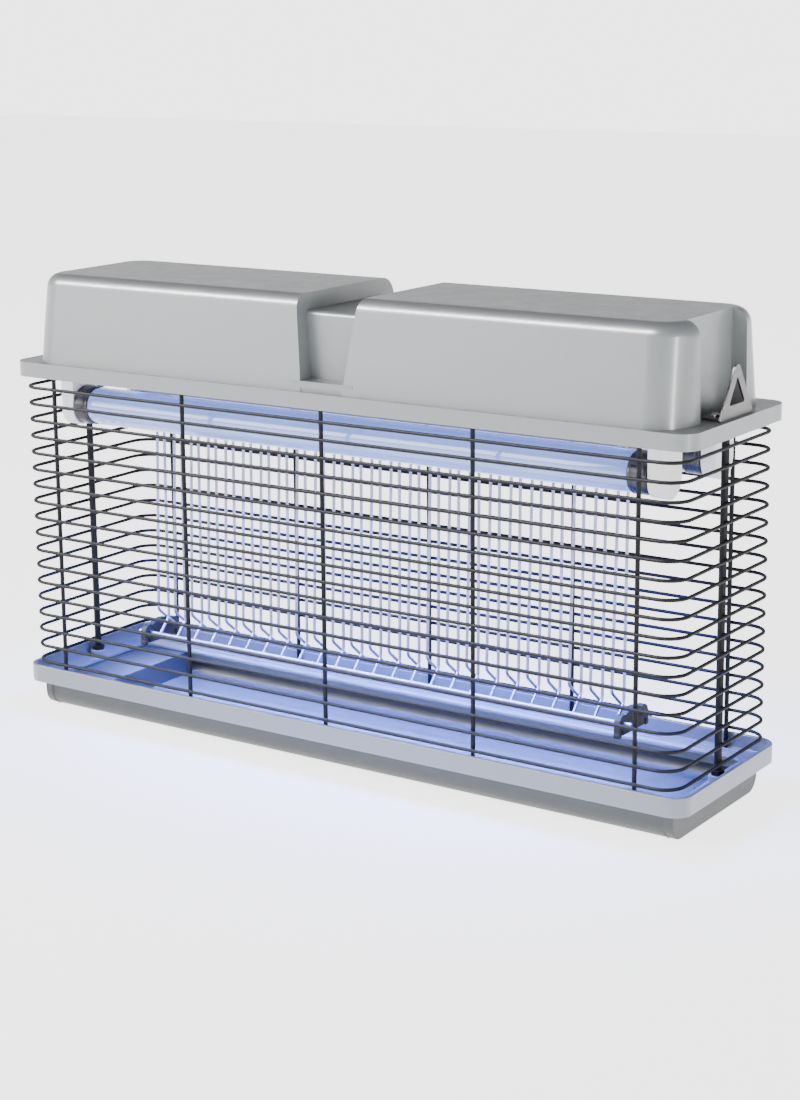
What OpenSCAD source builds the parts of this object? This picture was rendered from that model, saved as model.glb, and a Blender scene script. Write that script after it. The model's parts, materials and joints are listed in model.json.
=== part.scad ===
// Twin-tube electric bug zapper: a moulded top housing with the electrical gear,
// a wire guard round two ultraviolet tubes and a high-voltage grid, and a base rim
// with a collecting tray that slides out to the right.
// Millimetres. +X is the right end, -Y the front, +Z up. The origin is the middle of
// the tray's underside, which the object stands on.

/* [Overall] */
// Length of the top flange and of the base rim
body_length = 512; // [511:0.5:516]
// Depth of the top flange
flange_depth = 128; // [127.5:0.5:130]
// Depth of the base rim
rim_depth = 130; // [129:0.5:132]
// Height of the top flange's underside above the ground
flange_z = 234.5; // [234:0.5:240]
// Height of the flange skirt
flange_height = 10; // [10:0.5:12]
// Height of the housing above the flange
housing_height = 59; // [58:0.5:64]
// Corner radius of the flange and of the rim
outline_radius = 12; // [10:0.5:14]

/* [Housing] */
// Wall thickness of the housing
housing_wall = 2.5; // [2.2:0.1:2.8]
// Gap from the flange's end to the housing's end wall
end_margin = 11.6; // [11:0.2:12.4]
// Gap from the flange's front to the housing's front wall
side_margin = 4; // [3.5:0.5:5]
// How far the front and rear walls lean in by the top
side_lean = 6.5; // [5:0.5:7]
// How far the end walls lean in by the top
end_lean = 1; // [0.5:0.5:3]
// Radius of the housing's upright corners
housing_radius = 22; // [20:1:24]
// Radius of the housing's top edges
top_radius = 10; // [8:0.5:11]
// Half the width of the notch at the flange
notch_half_low = 15.5; // [15:0.5:17]
// Half the width of the notch at the top
notch_half_high = 23.5; // [22:0.5:25]
// Height of the notch's sill above the flange
sill_height = 6.5; // [6:0.5:8]
// Width of the bracket recess in each end
recess_width = 60; // [56:1:62]

/* [Guard] */
// Number of guard wires on each side
ring_count = 18; // [12:1:18]
// Spacing of the guard wires
ring_pitch = 11.35; // [11:0.05:11.4]
// Height of the lowest guard wire
ring_z = 34.3; // [34:0.1:36]
// Length of the guard between wire centres
guard_length = 499; // [498:0.5:500]
// Depth of the guard between wire centres
guard_depth = 126; // [125:0.5:126.5]
// Diameter of the coated guard wire
ring_wire = 2.2; // [1.8:0.1:2.4]
// Diameter of the guard's upright bars
bar_wire = 2.8; // [2.4:0.1:3]
// Spacing of the guard's upright bars
bar_pitch = 111; // [108:0.5:112]
// Diameter of the two tie posts
post_diameter = 4.6; // [4:0.1:5]

/* [Tubes] */
// Length of a tube between the outer faces of its caps
tube_length = 437.4; // [437:0.1:437.8]
// Diameter of a tube
tube_diameter = 26; // [25.6:0.1:26]
// Distance of each tube's axis from the middle
tube_y = 33.7; // [33:0.1:34.5]
// Height of the tubes' axes
tube_z = 213.7; // [213:0.1:214.5]

/* [Grid] */
// Number of wires in each comb of the high-voltage grid
comb_wires = 25; // [15:1:25]
// Spacing of the wires in one comb
comb_pitch = 15; // [14.8:0.02:15]
// Diameter of the grid wire
grid_wire = 2; // [1.6:0.1:2.2]
// Diameter of the grid rails
grid_rail = 2.8; // [2.6:0.1:3]

/* [Tray] */
// Height of the collecting tray
tray_height = 18.6; // [18.4:0.1:18.7]
// Width of the collecting tray
tray_width = 111.2; // [109:0.2:112]
// Thickness of the tray's walls
tray_wall = 2; // [1.8:0.1:2.2]
// Radius of the tray's lower edges
tray_radius = 10; // [9:0.5:12]

/* [Hidden] */

abs_grey = [0.70, 0.73, 0.73];
tray_grey = [0.60, 0.64, 0.65];
guard_black = [0.10, 0.12, 0.16];
steel = [0.75, 0.76, 0.78];

curve = 48;
arc_steps = 8;
eps = 0.01;
overlap = 0.5;
ends = [-1, 1];
sides = [-1, 1];

// Housing heights and half sizes
flange_top = flange_z + flange_height;
housing_top = flange_top + housing_height;
sill_z = flange_top + sill_height;
house_half_length = body_length / 2 - end_margin;
house_half_depth = flange_depth / 2 - side_margin;
waist_top = housing_top - 10.5;
waist_half_low = house_half_depth - 12.5;
waist_half_high = house_half_depth - 16;
waist_radius = 4;
waist_half_length = 40;
recess_inset = 22;
recess_x = body_length / 2 - recess_inset;
plate_z = flange_z + 1.5;
plate_thickness = 1.2;
plate_top = plate_z + plate_thickness;
plate_length = body_length - 7;
plate_depth = flange_depth - 7;
plate_radius = outline_radius - 3.5;

// Screws that hold the chassis plate to the housing's bosses
boss_points = [for (x = [-206, -38, 38, 206], sy = sides) [x, sy * 41]];
boss_rib = 2;
boss_radius = 4.5;
boss_hole = 1.5;
boss_depth = 14;
screw_head_radius = 3.2;
screw_head_height = 1.3;
pan_head_height = 1.8;

// Hanging brackets, triangular plates with an inward foot
bracket_x = body_length / 2 - 4.8;
bracket_sheet = 1.5;
bracket_half_base = 22;
bracket_height = 34.5;
bracket_base_radius = 1;
bracket_tip_radius = 4;
bracket_foot = 12;
bracket_foot_half = 18;
bracket_hole_low = 8;
bracket_hole_high = 24;
bracket_hole_half = 10.5;
bracket_hole_radius = 1;
bracket_screw_y = 10;
bracket_screw_x = bracket_x - 7.5;
bracket_screw_radius = 1.5;

// Guard
guard_radius = 14;
guard_bar_y = guard_depth / 2 - ring_wire / 2 - bar_wire / 2;
nut_height = 3;
nut_radius = 4.6;
post_x = guard_length / 2 - ring_wire / 2 - post_diameter / 2;

// Base rim
rim_z = 19;
rim_height = 12;
rim_top = rim_z + rim_height;
rim_wall = 2.5;
shelf_thickness = 2.5;
shelf_top = rim_z + shelf_thickness;
opening_half_length = 240;
opening_half_depth = 46;
opening_radius = 6;
boss_top = shelf_top + 5;
post_low = rim_z + 1.5;
rail_web = 1.5;
rail_low = 12.9;
rail_foot = 3.6;
rail_half_length = 236;
rib_count = 2;
rib_pitch = 4;
rib_width = 1;
rib_height = 1.6;

// Tray
well_left = -206;
tray_half_length = 239.6;
end_plate = 6;
end_plate_margin = 1;
tray_inner = tray_width / 2 - tray_wall;
lip_low = 15.2;
lip_width = 2;
rail_near = tray_inner - 4;
rail_passage_half = rail_near - 0.7;
rail_passage_low = 12.2;
grip_half = 9;
grip_depth = 3;
grip_height = 4;

// Tubes and lampholders
cap_length = 12.5;
glass_radius = tube_diameter / 2 - 0.35;
glass_wall = 0.8;
pin_radius = 1.2;
pin_length = 5.6;
pin_spacing = 12.7;
holder_x = tube_length / 2 + 0.4;
holder_thickness = 10.2;
holder_half_width = 11.4;
holder_arc_z = tube_z - 2.9;
holder_slot = 3.2;
holder_screw_radius = 1.2;
holder_head_radius = 2.5;
holder_hole_depth = 9;
rotor_radius = 8;
rotor_thickness = 5.6;
rotor_slot = 2.6;
rotor_slot_depth = 5;
rotor_gap = 0.4;
rotor_room = rotor_thickness + 2 * rotor_gap;
rotor_x = holder_x + rotor_gap;
holder_middle = holder_x + holder_thickness / 2;

// Grid
comb_half = comb_pitch * (comb_wires - 1) / 2;
comb_shift = comb_pitch / 4;
rail_half = 194.5;
grid_rail_y = 13;
grid_rail_low = 51.5;
grid_rail_high = 222;
grid_bend = 5;
spacer_near = 185.2;
spacer_thickness = 4;
arch_drop = 12.5;
arch_radius = 20;
arch_half = 19;
arch_low = 7.5;
spacer_boss_radius = 5.5;
horn_y = 17;
horn_half = 1.5;
horn_depth = 8.5;
horn_slit_y = 14.5;
spacer_slit_top = 4;
hanger_near = 185.2;
hanger_thickness = 5;
hanger_half = 18;
hanger_low = 215;
hanger_flange = 4;
hanger_flange_thickness = 3;
// Where a live wire runs: rail, upper bend, lower bend, rail, as [y, z]
live_path = [
    [-grid_rail_y, grid_rail_high], [-1.6, 210.6],
    [-3.2, 61.7], [-grid_rail_y, grid_rail_low]
];
// Where a return wire runs
return_path = [
    [grid_rail_y, grid_rail_high], [0.6, 209.6],
    [-5, 66.5], [grid_rail_y, grid_rail_low]
];

// Electrical gear
ballast_size = [130, 40, 28];
ballast_x = -128;
ballast_y = 23;
ballast_foot = 8;
ballast_sheet = 2;
ballast_foot_inset = 4;
gear_hole = 1.5;
gear_head_radius = 2.8;
socket_x = 75;
socket_y = 24;
socket_size = 26;
socket_height = 10;
socket_floor = 4;
starter_radius = 10.75;
starter_height = 36;
starter_neck = 2;
starter_room = 0.3;
core_x = 150;
core_size = [60, 30, 50];
coil_size = [40, 46, 30];
coil_room = 0.5;
core_leg = 18;
core_window_x = 15;
core_window_half = 6;
core_yoke = 9;
core_foot = 8;
core_foot_half = 8;
core_sheet = 2;
block_size = [38, 18, 15];
way_pitch = 12;
way_screw_y = 5;
way_z = 6;
way_radius = 2;
way_screw_low = 9;
way_screw_high = 12;
gland_z = flange_top + 24;
gland_flange_radius = 9;
gland_flange = 2.5;
gland_inside = 8;
gland_nose = 3.5;
gland_nut_height = 5;
gland_nut_radius = 9;
wall_inside_y = waist_half_high - housing_wall - 1;
lead_radius = 1.1;
lead_gap = 0.6;
lead_sides = 8;
block_end = block_size[1] / 2 + lead_gap;
ballast_end = ballast_x + ballast_size[0] / 2 + lead_gap;
socket_reach = socket_size / 2 + lead_gap;
gland_bore = 3.6;
gland_radius = 6;
gland_face_y = waist_half_low + 1;

// Points of a quarter arc about a centre, from one angle to the next
function arc(cx, cy, r, from, span = 90) =
    [for (i = [0 : arc_steps])
        let (angle = from + span * i / arc_steps)
        [cx + r * cos(angle), cy + r * sin(angle)]];

// Outline of a rectangle with rounded corners, centred on the origin
function rounded_outline(length, depth, radius) =
    let (a = length / 2 - radius, b = depth / 2 - radius)
    concat(arc(a, b, radius, 0), arc(-a, b, radius, 90), arc(-a, -b, radius, 180), arc(a, -b, radius, 270));

// Outline of the tray's trough: an open-topped U seen along X, bottom edges rounded
function trough_outline(width, low, high, radius) =
    concat(
        [[width / 2, high], [-width / 2, high]],
        arc(-width / 2 + radius, low + radius, radius, 180),
        arc(width / 2 - radius, low + radius, radius, 270)
    );

module rounded_slab(length, depth, radius, low, high) {
    translate([0, 0, low]) linear_extrude(high - low) polygon(rounded_outline(length, depth, radius));
}

// Extrudes a YZ outline along X, from one X to another
module along_x(from, to) {
    translate([from, 0, 0]) rotate([90, 0, 90]) linear_extrude(to - from) children();
}

module bar_x(from, to, y, z, radius) {
    translate([from, y, z]) rotate([0, 90, 0]) cylinder(h = to - from, r = radius, $fn = curve);
}

module bar_y(x, from, to, z, radius) {
    translate([x, from, z]) rotate([-90, 0, 0]) cylinder(h = to - from, r = radius, $fn = curve);
}

module bar_z(x, y, low, high, radius) {
    translate([x, y, low]) cylinder(h = high - low, r = radius, $fn = curve);
}

// Box between two corners
module block(low, high) {
    translate(low) cube(high - low);
}

// Half width of the notch at a height
function notch_at(z) =
    notch_half_low + (notch_half_high - notch_half_low) * (z - flange_top) / housing_height;

// A round-edged disc, flat below, for the housing's top corners
module crowned_disc(radius, edge) {
    rotate_extrude($fn = curve) polygon(concat([[0, 0]], arc(radius - edge, 0, edge, 0), [[0, edge]]));
}

// One solid half of the housing, drafted on all sides, with rounded top edges.
// inset shrinks it evenly for the cavity.
module housing_block(side, inset) {
    corner = housing_radius - inset;
    edge = top_radius - inset / 2;
    low_end = house_half_length - inset;
    low_side = house_half_depth - inset;
    high_side = low_side - side_lean;
    top = housing_top - inset;
    base = inset > 0 ? flange_top - housing_wall - 1 : flange_top;
    hull() for (sy = sides) {
        translate([side * (low_end - corner), sy * (low_side - corner), base])
            cylinder(h = eps, r = corner, $fn = curve);
        translate([side * (low_end - end_lean - corner), sy * (high_side - corner), top - edge])
            crowned_disc(corner, edge);
        translate([side * (notch_at(base) + inset), sy * (low_side - eps), base]) cube(eps);
        for (p = arc(high_side - edge, top - edge, edge, 0))
            translate([side * (notch_at(p[1]) + inset), sy * p[0], p[1]]) cube(eps);
    }
}

// Outline of the waist between the blocks, seen along X
function waist_outline() =
    let (r = waist_radius, a = waist_half_high)
    concat([[waist_half_low, flange_top]], arc(a - r, waist_top - r, r, 0), arc(-a + r, waist_top - r, r, 90),
           [[-waist_half_low, flange_top]]);

module waist_cavity() {
    block([-waist_half_length, -wall_inside_y, flange_top - housing_wall - 1],
          [waist_half_length, wall_inside_y, waist_top - housing_wall]);
}

// What the recess in one end wall takes away; growth adds its wall
module end_recess(side, growth) {
    near = recess_x - growth;
    half = recess_width / 2 + growth;
    low = flange_top - (growth > 0 ? housing_wall : 0);
    block([side > 0 ? near : -body_length / 2, -half, low],
          [side > 0 ? body_length / 2 : -near, half, housing_top + 1]);
}

// Screw columns with a rib to the nearest long wall
module housing_bosses() {
    for (p = boss_points) {
        bar_z(p[0], p[1], plate_top, housing_top, boss_radius);
        low_y = p[1] > 0 ? p[1] : -house_half_depth;
        high_y = p[1] > 0 ? house_half_depth : p[1];
        block([p[0] - boss_rib / 2, low_y, flange_top - housing_wall],
              [p[0] + boss_rib / 2, high_y, housing_top]);
    }
}

module top_housing() color(abs_grey) {
    difference() {
        union() {
            rounded_slab(body_length, flange_depth, outline_radius, flange_z, flange_top);
            block([-notch_half_high, -house_half_depth + 0.5, flange_top - 1],
                  [notch_half_high, house_half_depth - 0.5, sill_z]);
            housing_block(-1, 0);
            housing_block(1, 0);
            along_x(-waist_half_length, waist_half_length) polygon(waist_outline());
            bar_y(0, wall_inside_y, gland_face_y, gland_z, gland_flange_radius + 1);
        }
        difference() {
            union() {
                rounded_slab(body_length - 2 * housing_wall, flange_depth - 2 * housing_wall,
                             outline_radius - housing_wall, flange_z - 1, flange_top - housing_wall);
                housing_block(-1, housing_wall);
                housing_block(1, housing_wall);
                waist_cavity();
            }
            for (side = ends) end_recess(side, housing_wall);
            housing_bosses();
        }
        for (side = ends) end_recess(side, 0);
        for (p = boss_points) bar_z(p[0], p[1], plate_top - 1, plate_top + boss_depth, boss_hole);
        bar_y(0, wall_inside_y - 1, gland_face_y + 1, gland_z, gland_radius);
        for (side = ends, sy = sides)
            bar_z(side * bracket_screw_x, sy * bracket_screw_y, flange_z, flange_top + 1,
                  bracket_screw_radius);
    }
}

module chassis_plate() color("white") {
    difference() {
        rounded_slab(plate_length, plate_depth, plate_radius, plate_z, plate_top);
        for (p = boss_points) bar_z(p[0], p[1], plate_z - 1, plate_top + 1, boss_hole);
        for (side = ends) {
            bar_z(side * post_x, 0, plate_z - 1, plate_top + 1, post_diameter / 2);
            for (sy = sides) {
                bar_z(side * bracket_screw_x, sy * bracket_screw_y, plate_z - 1, plate_top + 1,
                      bracket_screw_radius);
                bar_z(side * holder_middle, sy * tube_y, plate_z - 1, plate_top + 1, holder_screw_radius);
            }
        }
    }
}

// A pan-head screw pointing up, its head's underside at z = 0
module screw_up(radius, length, head_radius, head_height) {
    translate([0, 0, -head_height]) cylinder(h = head_height, r = head_radius, $fn = curve);
    cylinder(h = length, r = radius, $fn = curve);
}

module housing_screws() color(steel) {
    for (p = boss_points)
        translate([p[0], p[1], plate_z])
            screw_up(boss_hole, plate_thickness + boss_depth - 2, screw_head_radius, screw_head_height);
}

// Outline of a triangle standing on its base, with rounded corners, as [y, z]
function triangle_outline(half, low, high, base_r, tip_r) =
    let (a = atan2(high - low, half), side_y = half - base_r / tan(a / 2))
    concat(
        arc(side_y, low + base_r, base_r, -90, 180 - a),
        arc(0, high - tip_r / cos(a), tip_r, 90 - a, 2 * a),
        arc(-side_y, low + base_r, base_r, 90 + a, 180 - a)
    );

// Stamped hanging bracket: an upright triangle with a triangular hole, on an inward foot
module hanging_bracket(side) {
    near = side > 0 ? bracket_x : -bracket_x - bracket_sheet;
    foot_low = side > 0 ? bracket_x - bracket_foot : -bracket_x - bracket_sheet;
    foot_high = side > 0 ? bracket_x + bracket_sheet : -bracket_x + bracket_foot;
    difference() {
        union() {
            translate([0, 0, flange_top]) along_x(near, near + bracket_sheet)
                polygon(triangle_outline(bracket_half_base, 0, bracket_height, bracket_base_radius,
                                         bracket_tip_radius));
            block([foot_low, -bracket_foot_half, flange_top],
                  [foot_high, bracket_foot_half, flange_top + bracket_sheet]);
        }
        translate([0, 0, flange_top]) along_x(near - 1, near + bracket_sheet + 1)
            polygon(triangle_outline(bracket_hole_half, bracket_hole_low, bracket_hole_high,
                                     bracket_hole_radius, bracket_hole_radius));
        for (sy = sides)
            bar_z(side * bracket_screw_x, sy * bracket_screw_y, flange_top - 1,
                  flange_top + bracket_sheet + 1, bracket_screw_radius);
    }
}

module hanging_bracket_left() color(steel) hanging_bracket(-1);
module hanging_bracket_right() color(steel) hanging_bracket(1);

module bracket_screws() color(steel) {
    for (side = ends, sy = sides)
        translate([side * bracket_screw_x, sy * bracket_screw_y, flange_top + bracket_sheet])
            rotate([180, 0, 0])
                screw_up(bracket_screw_radius, flange_top + bracket_sheet - plate_z, gear_head_radius,
                         pan_head_height);
}

// Straight wire in the XY plane from one point to another
module wire_run(a, b, radius) {
    d = b - a;
    translate([a[0], a[1], 0]) rotate([0, 0, atan2(d[1], d[0])]) rotate([0, 90, 0])
        cylinder(h = norm(d), r = radius, $fn = 24);
}

// Bend in the XY plane about a centre, from one angle round to the next
module wire_bend(centre, bend, from, span, radius) {
    translate([centre[0], centre[1], 0]) rotate([0, 0, from])
        rotate_extrude(angle = span, $fn = curve) translate([bend, 0]) circle(r = radius, $fn = 24);
}

module guard_ring(z) {
    a = guard_length / 2 - guard_radius;
    b = guard_depth / 2 - guard_radius;
    r = ring_wire / 2;
    translate([0, 0, z]) {
        for (sy = sides) wire_run([-a, sy * guard_depth / 2], [a, sy * guard_depth / 2], r);
        for (sx = ends) wire_run([sx * guard_length / 2, -b], [sx * guard_length / 2, b], r);
        wire_bend([a, b], guard_radius, 0, 90, r);
        wire_bend([-a, b], guard_radius, 90, 90, r);
        wire_bend([-a, -b], guard_radius, 180, 90, r);
        wire_bend([a, -b], guard_radius, 270, 90, r);
    }
}

module guard_rings() color(guard_black) {
    for (i = [0 : ring_count - 1]) guard_ring(ring_z + i * ring_pitch);
}

module guard_bars() color(guard_black) {
    for (i = [-2 : 2], sy = sides) bar_z(i * bar_pitch, sy * guard_bar_y, shelf_top, flange_z, bar_wire / 2);
}

module tie_post(side) {
    bar_z(side * post_x, 0, post_low, plate_top + nut_height + 1, post_diameter / 2);
}

module post_left() color(guard_black) tie_post(-1);
module post_right() color(guard_black) tie_post(1);

module post_nut(x, z) {
    translate([x, 0, z]) difference() {
        cylinder(h = nut_height, r = nut_radius, $fn = 6);
        translate([0, 0, -1]) cylinder(h = nut_height + 2, r = post_diameter / 2, $fn = curve);
    }
}

module post_nuts() color(steel) {
    for (side = ends) {
        post_nut(side * post_x, plate_top);
        post_nut(side * post_x, boss_top);
    }
}

// Hooked rail under one long side of the rim's shelf, which the tray's lip runs on
module tray_rail(sy) {
    web = [rail_near, rail_near + rail_web];
    foot = [rail_near, rail_near + rail_foot];
    block([-rail_half_length, sy > 0 ? web[0] : -web[1], rail_low],
          [rail_half_length, sy > 0 ? web[1] : -web[0], rim_z]);
    block([-rail_half_length, sy > 0 ? foot[0] : -foot[1], rail_low],
          [rail_half_length, sy > 0 ? foot[1] : -foot[0], rail_low + rail_web]);
}

module base_rim() color(abs_grey) {
    difference() {
        union() {
            difference() {
                rounded_slab(body_length, rim_depth, outline_radius, rim_z, rim_top);
                rounded_slab(body_length - 2 * rim_wall, rim_depth - 2 * rim_wall, outline_radius - rim_wall,
                             shelf_top, rim_top + 1);
            }
            for (side = ends) bar_z(side * post_x, 0, rim_z, boss_top, nut_radius + 1);
            for (i = [1 : rib_count], sy = sides) {
                y = opening_half_depth + rib_pitch * i;
                block([-rail_half_length, sy > 0 ? y : -y - rib_width, shelf_top - eps],
                      [rail_half_length, sy > 0 ? y + rib_width : -y, shelf_top + rib_height]);
            }
        }
        rounded_slab(2 * opening_half_length, 2 * opening_half_depth, opening_radius, rim_z - 1, rim_top + 1);
        for (side = ends) bar_z(side * post_x, 0, post_low, boss_top + 1, post_diameter / 2);
    }
    for (sy = sides) tray_rail(sy);
}

// Collecting tray: a long trough with a closed well, a shelf at its left end,
// lips that hang on the rim's rails, and a plate over each end
module collecting_tray() color(tray_grey) {
    difference() {
        union() {
            along_x(-tray_half_length, tray_half_length)
                polygon(trough_outline(tray_width, 0, tray_height, tray_radius));
            for (x = [-tray_half_length - end_plate, tray_half_length])
                along_x(x, x + end_plate)
                    polygon(trough_outline(tray_width + 2 * end_plate_margin, 0, tray_height,
                                           tray_radius + end_plate_margin));
        }
        along_x(well_left + tray_wall, tray_half_length - tray_wall)
            polygon(trough_outline(2 * tray_inner, tray_wall, tray_height + 1, tray_radius - tray_wall));
        block([-tray_half_length + tray_wall, -rail_passage_half + tray_wall, -1],
              [well_left, rail_passage_half - tray_wall, tray_height - tray_wall]);
        for (sy = sides)
            block([-tray_half_length - end_plate - 1, sy > 0 ? rail_passage_half : -tray_inner,
                   rail_passage_low],
                  [well_left + tray_wall + 1, sy > 0 ? tray_inner : -rail_passage_half, tray_height + 1]);
    }
    for (sy = sides) {
        low_y = sy > 0 ? tray_inner - lip_width : -tray_inner - overlap;
        high_y = sy > 0 ? tray_inner + overlap : -tray_inner + lip_width;
        block([-tray_half_length - end_plate, low_y, lip_low],
              [tray_half_length, high_y, lip_low + lip_width]);
    }
    block([tray_half_length - tray_wall - grip_depth, -grip_half, tray_height - grip_height],
          [tray_half_length - tray_wall / 2, grip_half, tray_height]);
}

// Rotary lampholder: a U-shaped block with a round socket and an entry slot
module lampholder(side, sy) {
    near = side > 0 ? holder_x : -holder_x - holder_thickness;
    mouth = side > 0 ? near - 1 : near + holder_thickness - rotor_room;
    difference() {
        union() {
            bar_x(near, near + holder_thickness, sy * tube_y, holder_arc_z, holder_half_width);
            block([near, sy * tube_y - holder_half_width, holder_arc_z],
                  [near + holder_thickness, sy * tube_y + holder_half_width, plate_z]);
        }
        bar_x(mouth, mouth + rotor_room + 1, sy * tube_y, tube_z, rotor_radius + rotor_gap);
        block([mouth, sy * tube_y - holder_slot / 2, holder_arc_z - holder_half_width - 1],
              [mouth + rotor_room + 1, sy * tube_y + holder_slot / 2, tube_z]);
        bar_z(side * holder_middle, sy * tube_y, plate_z - holder_hole_depth, plate_z + 1,
              holder_screw_radius);
    }
}

module lampholder_front_left() color("white") lampholder(-1, -1);
module lampholder_front_right() color("white") lampholder(1, -1);
module lampholder_rear_left() color("white") lampholder(-1, 1);
module lampholder_rear_right() color("white") lampholder(1, 1);

module lampholder_screws() color(steel) {
    for (side = ends, sy = sides)
        translate([side * holder_middle, sy * tube_y, plate_top]) rotate([180, 0, 0])
            screw_up(holder_screw_radius, plate_thickness + holder_hole_depth - 1, holder_head_radius,
                     pan_head_height);
}

// The discs inside the lampholders that the tube's pins turn
module rotors(sy) {
    for (side = ends) {
        near = side > 0 ? rotor_x : -rotor_x - rotor_thickness;
        slot = side > 0 ? near - 1 : near + rotor_thickness - rotor_slot_depth;
        difference() {
            bar_x(near, near + rotor_thickness, sy * tube_y, tube_z, rotor_radius);
            block([slot, sy * tube_y - rotor_radius - 1, tube_z - rotor_slot / 2],
                  [slot + rotor_slot_depth + 1, sy * tube_y + rotor_radius + 1, tube_z + rotor_slot / 2]);
        }
    }
}

module rotors_front() color("ivory") rotors(-1);
module rotors_rear() color("ivory") rotors(1);

module tube_glass(sy) {
    half = tube_length / 2 - cap_length / 2;
    difference() {
        bar_x(-half, half, sy * tube_y, tube_z, glass_radius);
        bar_x(-half - 1, half + 1, sy * tube_y, tube_z, glass_radius - glass_wall);
    }
}

module tube_glass_front() color([0.68, 0.72, 0.95]) tube_glass(-1);
module tube_glass_rear() color([0.68, 0.72, 0.95]) tube_glass(1);

module tube_caps(sy) {
    for (side = ends) {
        far = side * tube_length / 2;
        near = side * (tube_length / 2 - cap_length);
        stop = side * (tube_length / 2 - cap_length / 2);
        difference() {
            bar_x(min(near, far), max(near, far), sy * tube_y, tube_z, tube_diameter / 2);
            bar_x(min(near - side, stop), max(near - side, stop), sy * tube_y, tube_z, glass_radius);
        }
    }
}

module tube_caps_front() color(steel) tube_caps(-1);
module tube_caps_rear() color(steel) tube_caps(1);

module tube_pins(sy) {
    for (side = ends, sp = sides) {
        near = side > 0 ? tube_length / 2 : -tube_length / 2 - pin_length;
        bar_x(near, near + pin_length, sy * tube_y + sp * pin_spacing / 2, tube_z, pin_radius);
    }
}

module tube_pins_front() color("gold") tube_pins(-1);
module tube_pins_rear() color("gold") tube_pins(1);

// Wire in the XY plane that starts along +X: straight runs with a bend after each
module wire_chain(runs, turns) {
    rotate([0, 90, 0]) cylinder(h = runs[0], r = grid_wire / 2, $fn = 24);
    if (len(runs) > 1) {
        way = turns[0] > 0 ? 1 : -1;
        translate([runs[0], way * grid_bend, 0]) {
            rotate([0, 0, way > 0 ? -90 : 90 + turns[0]])
                rotate_extrude(angle = abs(turns[0]), $fn = curve) translate([grid_bend, 0])
                    circle(r = grid_wire / 2, $fn = 24);
            rotate([0, 0, turns[0]]) translate([0, -way * grid_bend, 0])
                wire_chain([for (i = [1 : len(runs) - 1]) runs[i]],
                           [for (i = [1 : 1 : len(turns) - 1]) turns[i]]);
        }
    }
}

// One grid wire along a path in the YZ plane
module grid_wire_at(x, path) {
    steps = [for (i = [0 : 2]) path[i + 1] - path[i]];
    angles = [for (d = steps) atan2(d[1], d[0])];
    turns = [for (i = [0 : 1]) angles[i + 1] - angles[i]];
    trims = [0, grid_bend * tan(abs(turns[0]) / 2), grid_bend * tan(abs(turns[1]) / 2), 0];
    runs = [for (i = [0 : 2]) round(100 * (norm(steps[i]) - trims[i] - trims[i + 1])) / 100];
    translate([x, path[0][0], path[0][1]])
        rotate([90, 0, 90]) rotate([0, 0, angles[0]]) wire_chain(runs, turns);
}

// The two rails of a comb, above and below
module comb_rails(path) {
    for (end = [path[0], path[3]]) bar_x(-rail_half, rail_half, end[0], end[1], grid_rail / 2);
}

// Evenly spaced wires that end on the rails they are welded to
module comb_wires_on(path, shift) {
    for (i = [0 : comb_wires - 1]) difference() {
        grid_wire_at(shift + i * comb_pitch - comb_half, path);
        comb_rails(path);
    }
}

module live_rails() color("silver") comb_rails(live_path);
module live_wires() color("silver") comb_wires_on(live_path, comb_shift);
module return_rails() color("silver") comb_rails(return_path);
module return_wires() color("silver") comb_wires_on(return_path, -comb_shift);

// Black moulding that keeps the two lower rails apart, seen along X: a low arch
// with a round boss for each rail and short horns below
module grid_spacer(side) {
    near = side > 0 ? spacer_near : -spacer_near - spacer_thickness;
    far = near + spacer_thickness;
    difference() {
        union() {
            intersection() {
                bar_x(near, far, 0, grid_rail_low - arch_drop, arch_radius);
                block([near, -arch_half, grid_rail_low - arch_low],
                      [far, arch_half, grid_rail_low + arch_low]);
            }
            for (sy = sides) {
                bar_x(near, far, sy * grid_rail_y, grid_rail_low, spacer_boss_radius);
                block([near, sy * horn_y - horn_half, grid_rail_low - horn_depth],
                      [far, sy * horn_y + horn_half, grid_rail_low]);
            }
        }
        for (sy = sides) {
            bar_x(near - 1, far + 1, sy * grid_rail_y, grid_rail_low, grid_rail / 2);
            block([near - 1, sy * horn_slit_y - 1, grid_rail_low - horn_depth - 1],
                  [far + 1, sy * horn_slit_y + 1, grid_rail_low - spacer_slit_top]);
        }
    }
}

module grid_spacer_left() color([0.08, 0.08, 0.10]) grid_spacer(-1);
module grid_spacer_right() color([0.08, 0.08, 0.10]) grid_spacer(1);

// Insulating plate that the two upper rails hang in
module grid_hanger(side) {
    near = side > 0 ? hanger_near : -hanger_near - hanger_thickness;
    difference() {
        union() {
            block([near, -hanger_half, hanger_low], [near + hanger_thickness, hanger_half, plate_z]);
            block([near - hanger_flange, -hanger_half, plate_z - hanger_flange_thickness],
                  [near + hanger_thickness + hanger_flange, hanger_half, plate_z]);
        }
        for (sy = sides)
            bar_x(near - 1, near + hanger_thickness + 1, sy * grid_rail_y, grid_rail_high, grid_rail / 2);
    }
}

module grid_hanger_left() color("ivory") grid_hanger(-1);
module grid_hanger_right() color("ivory") grid_hanger(1);

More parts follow.
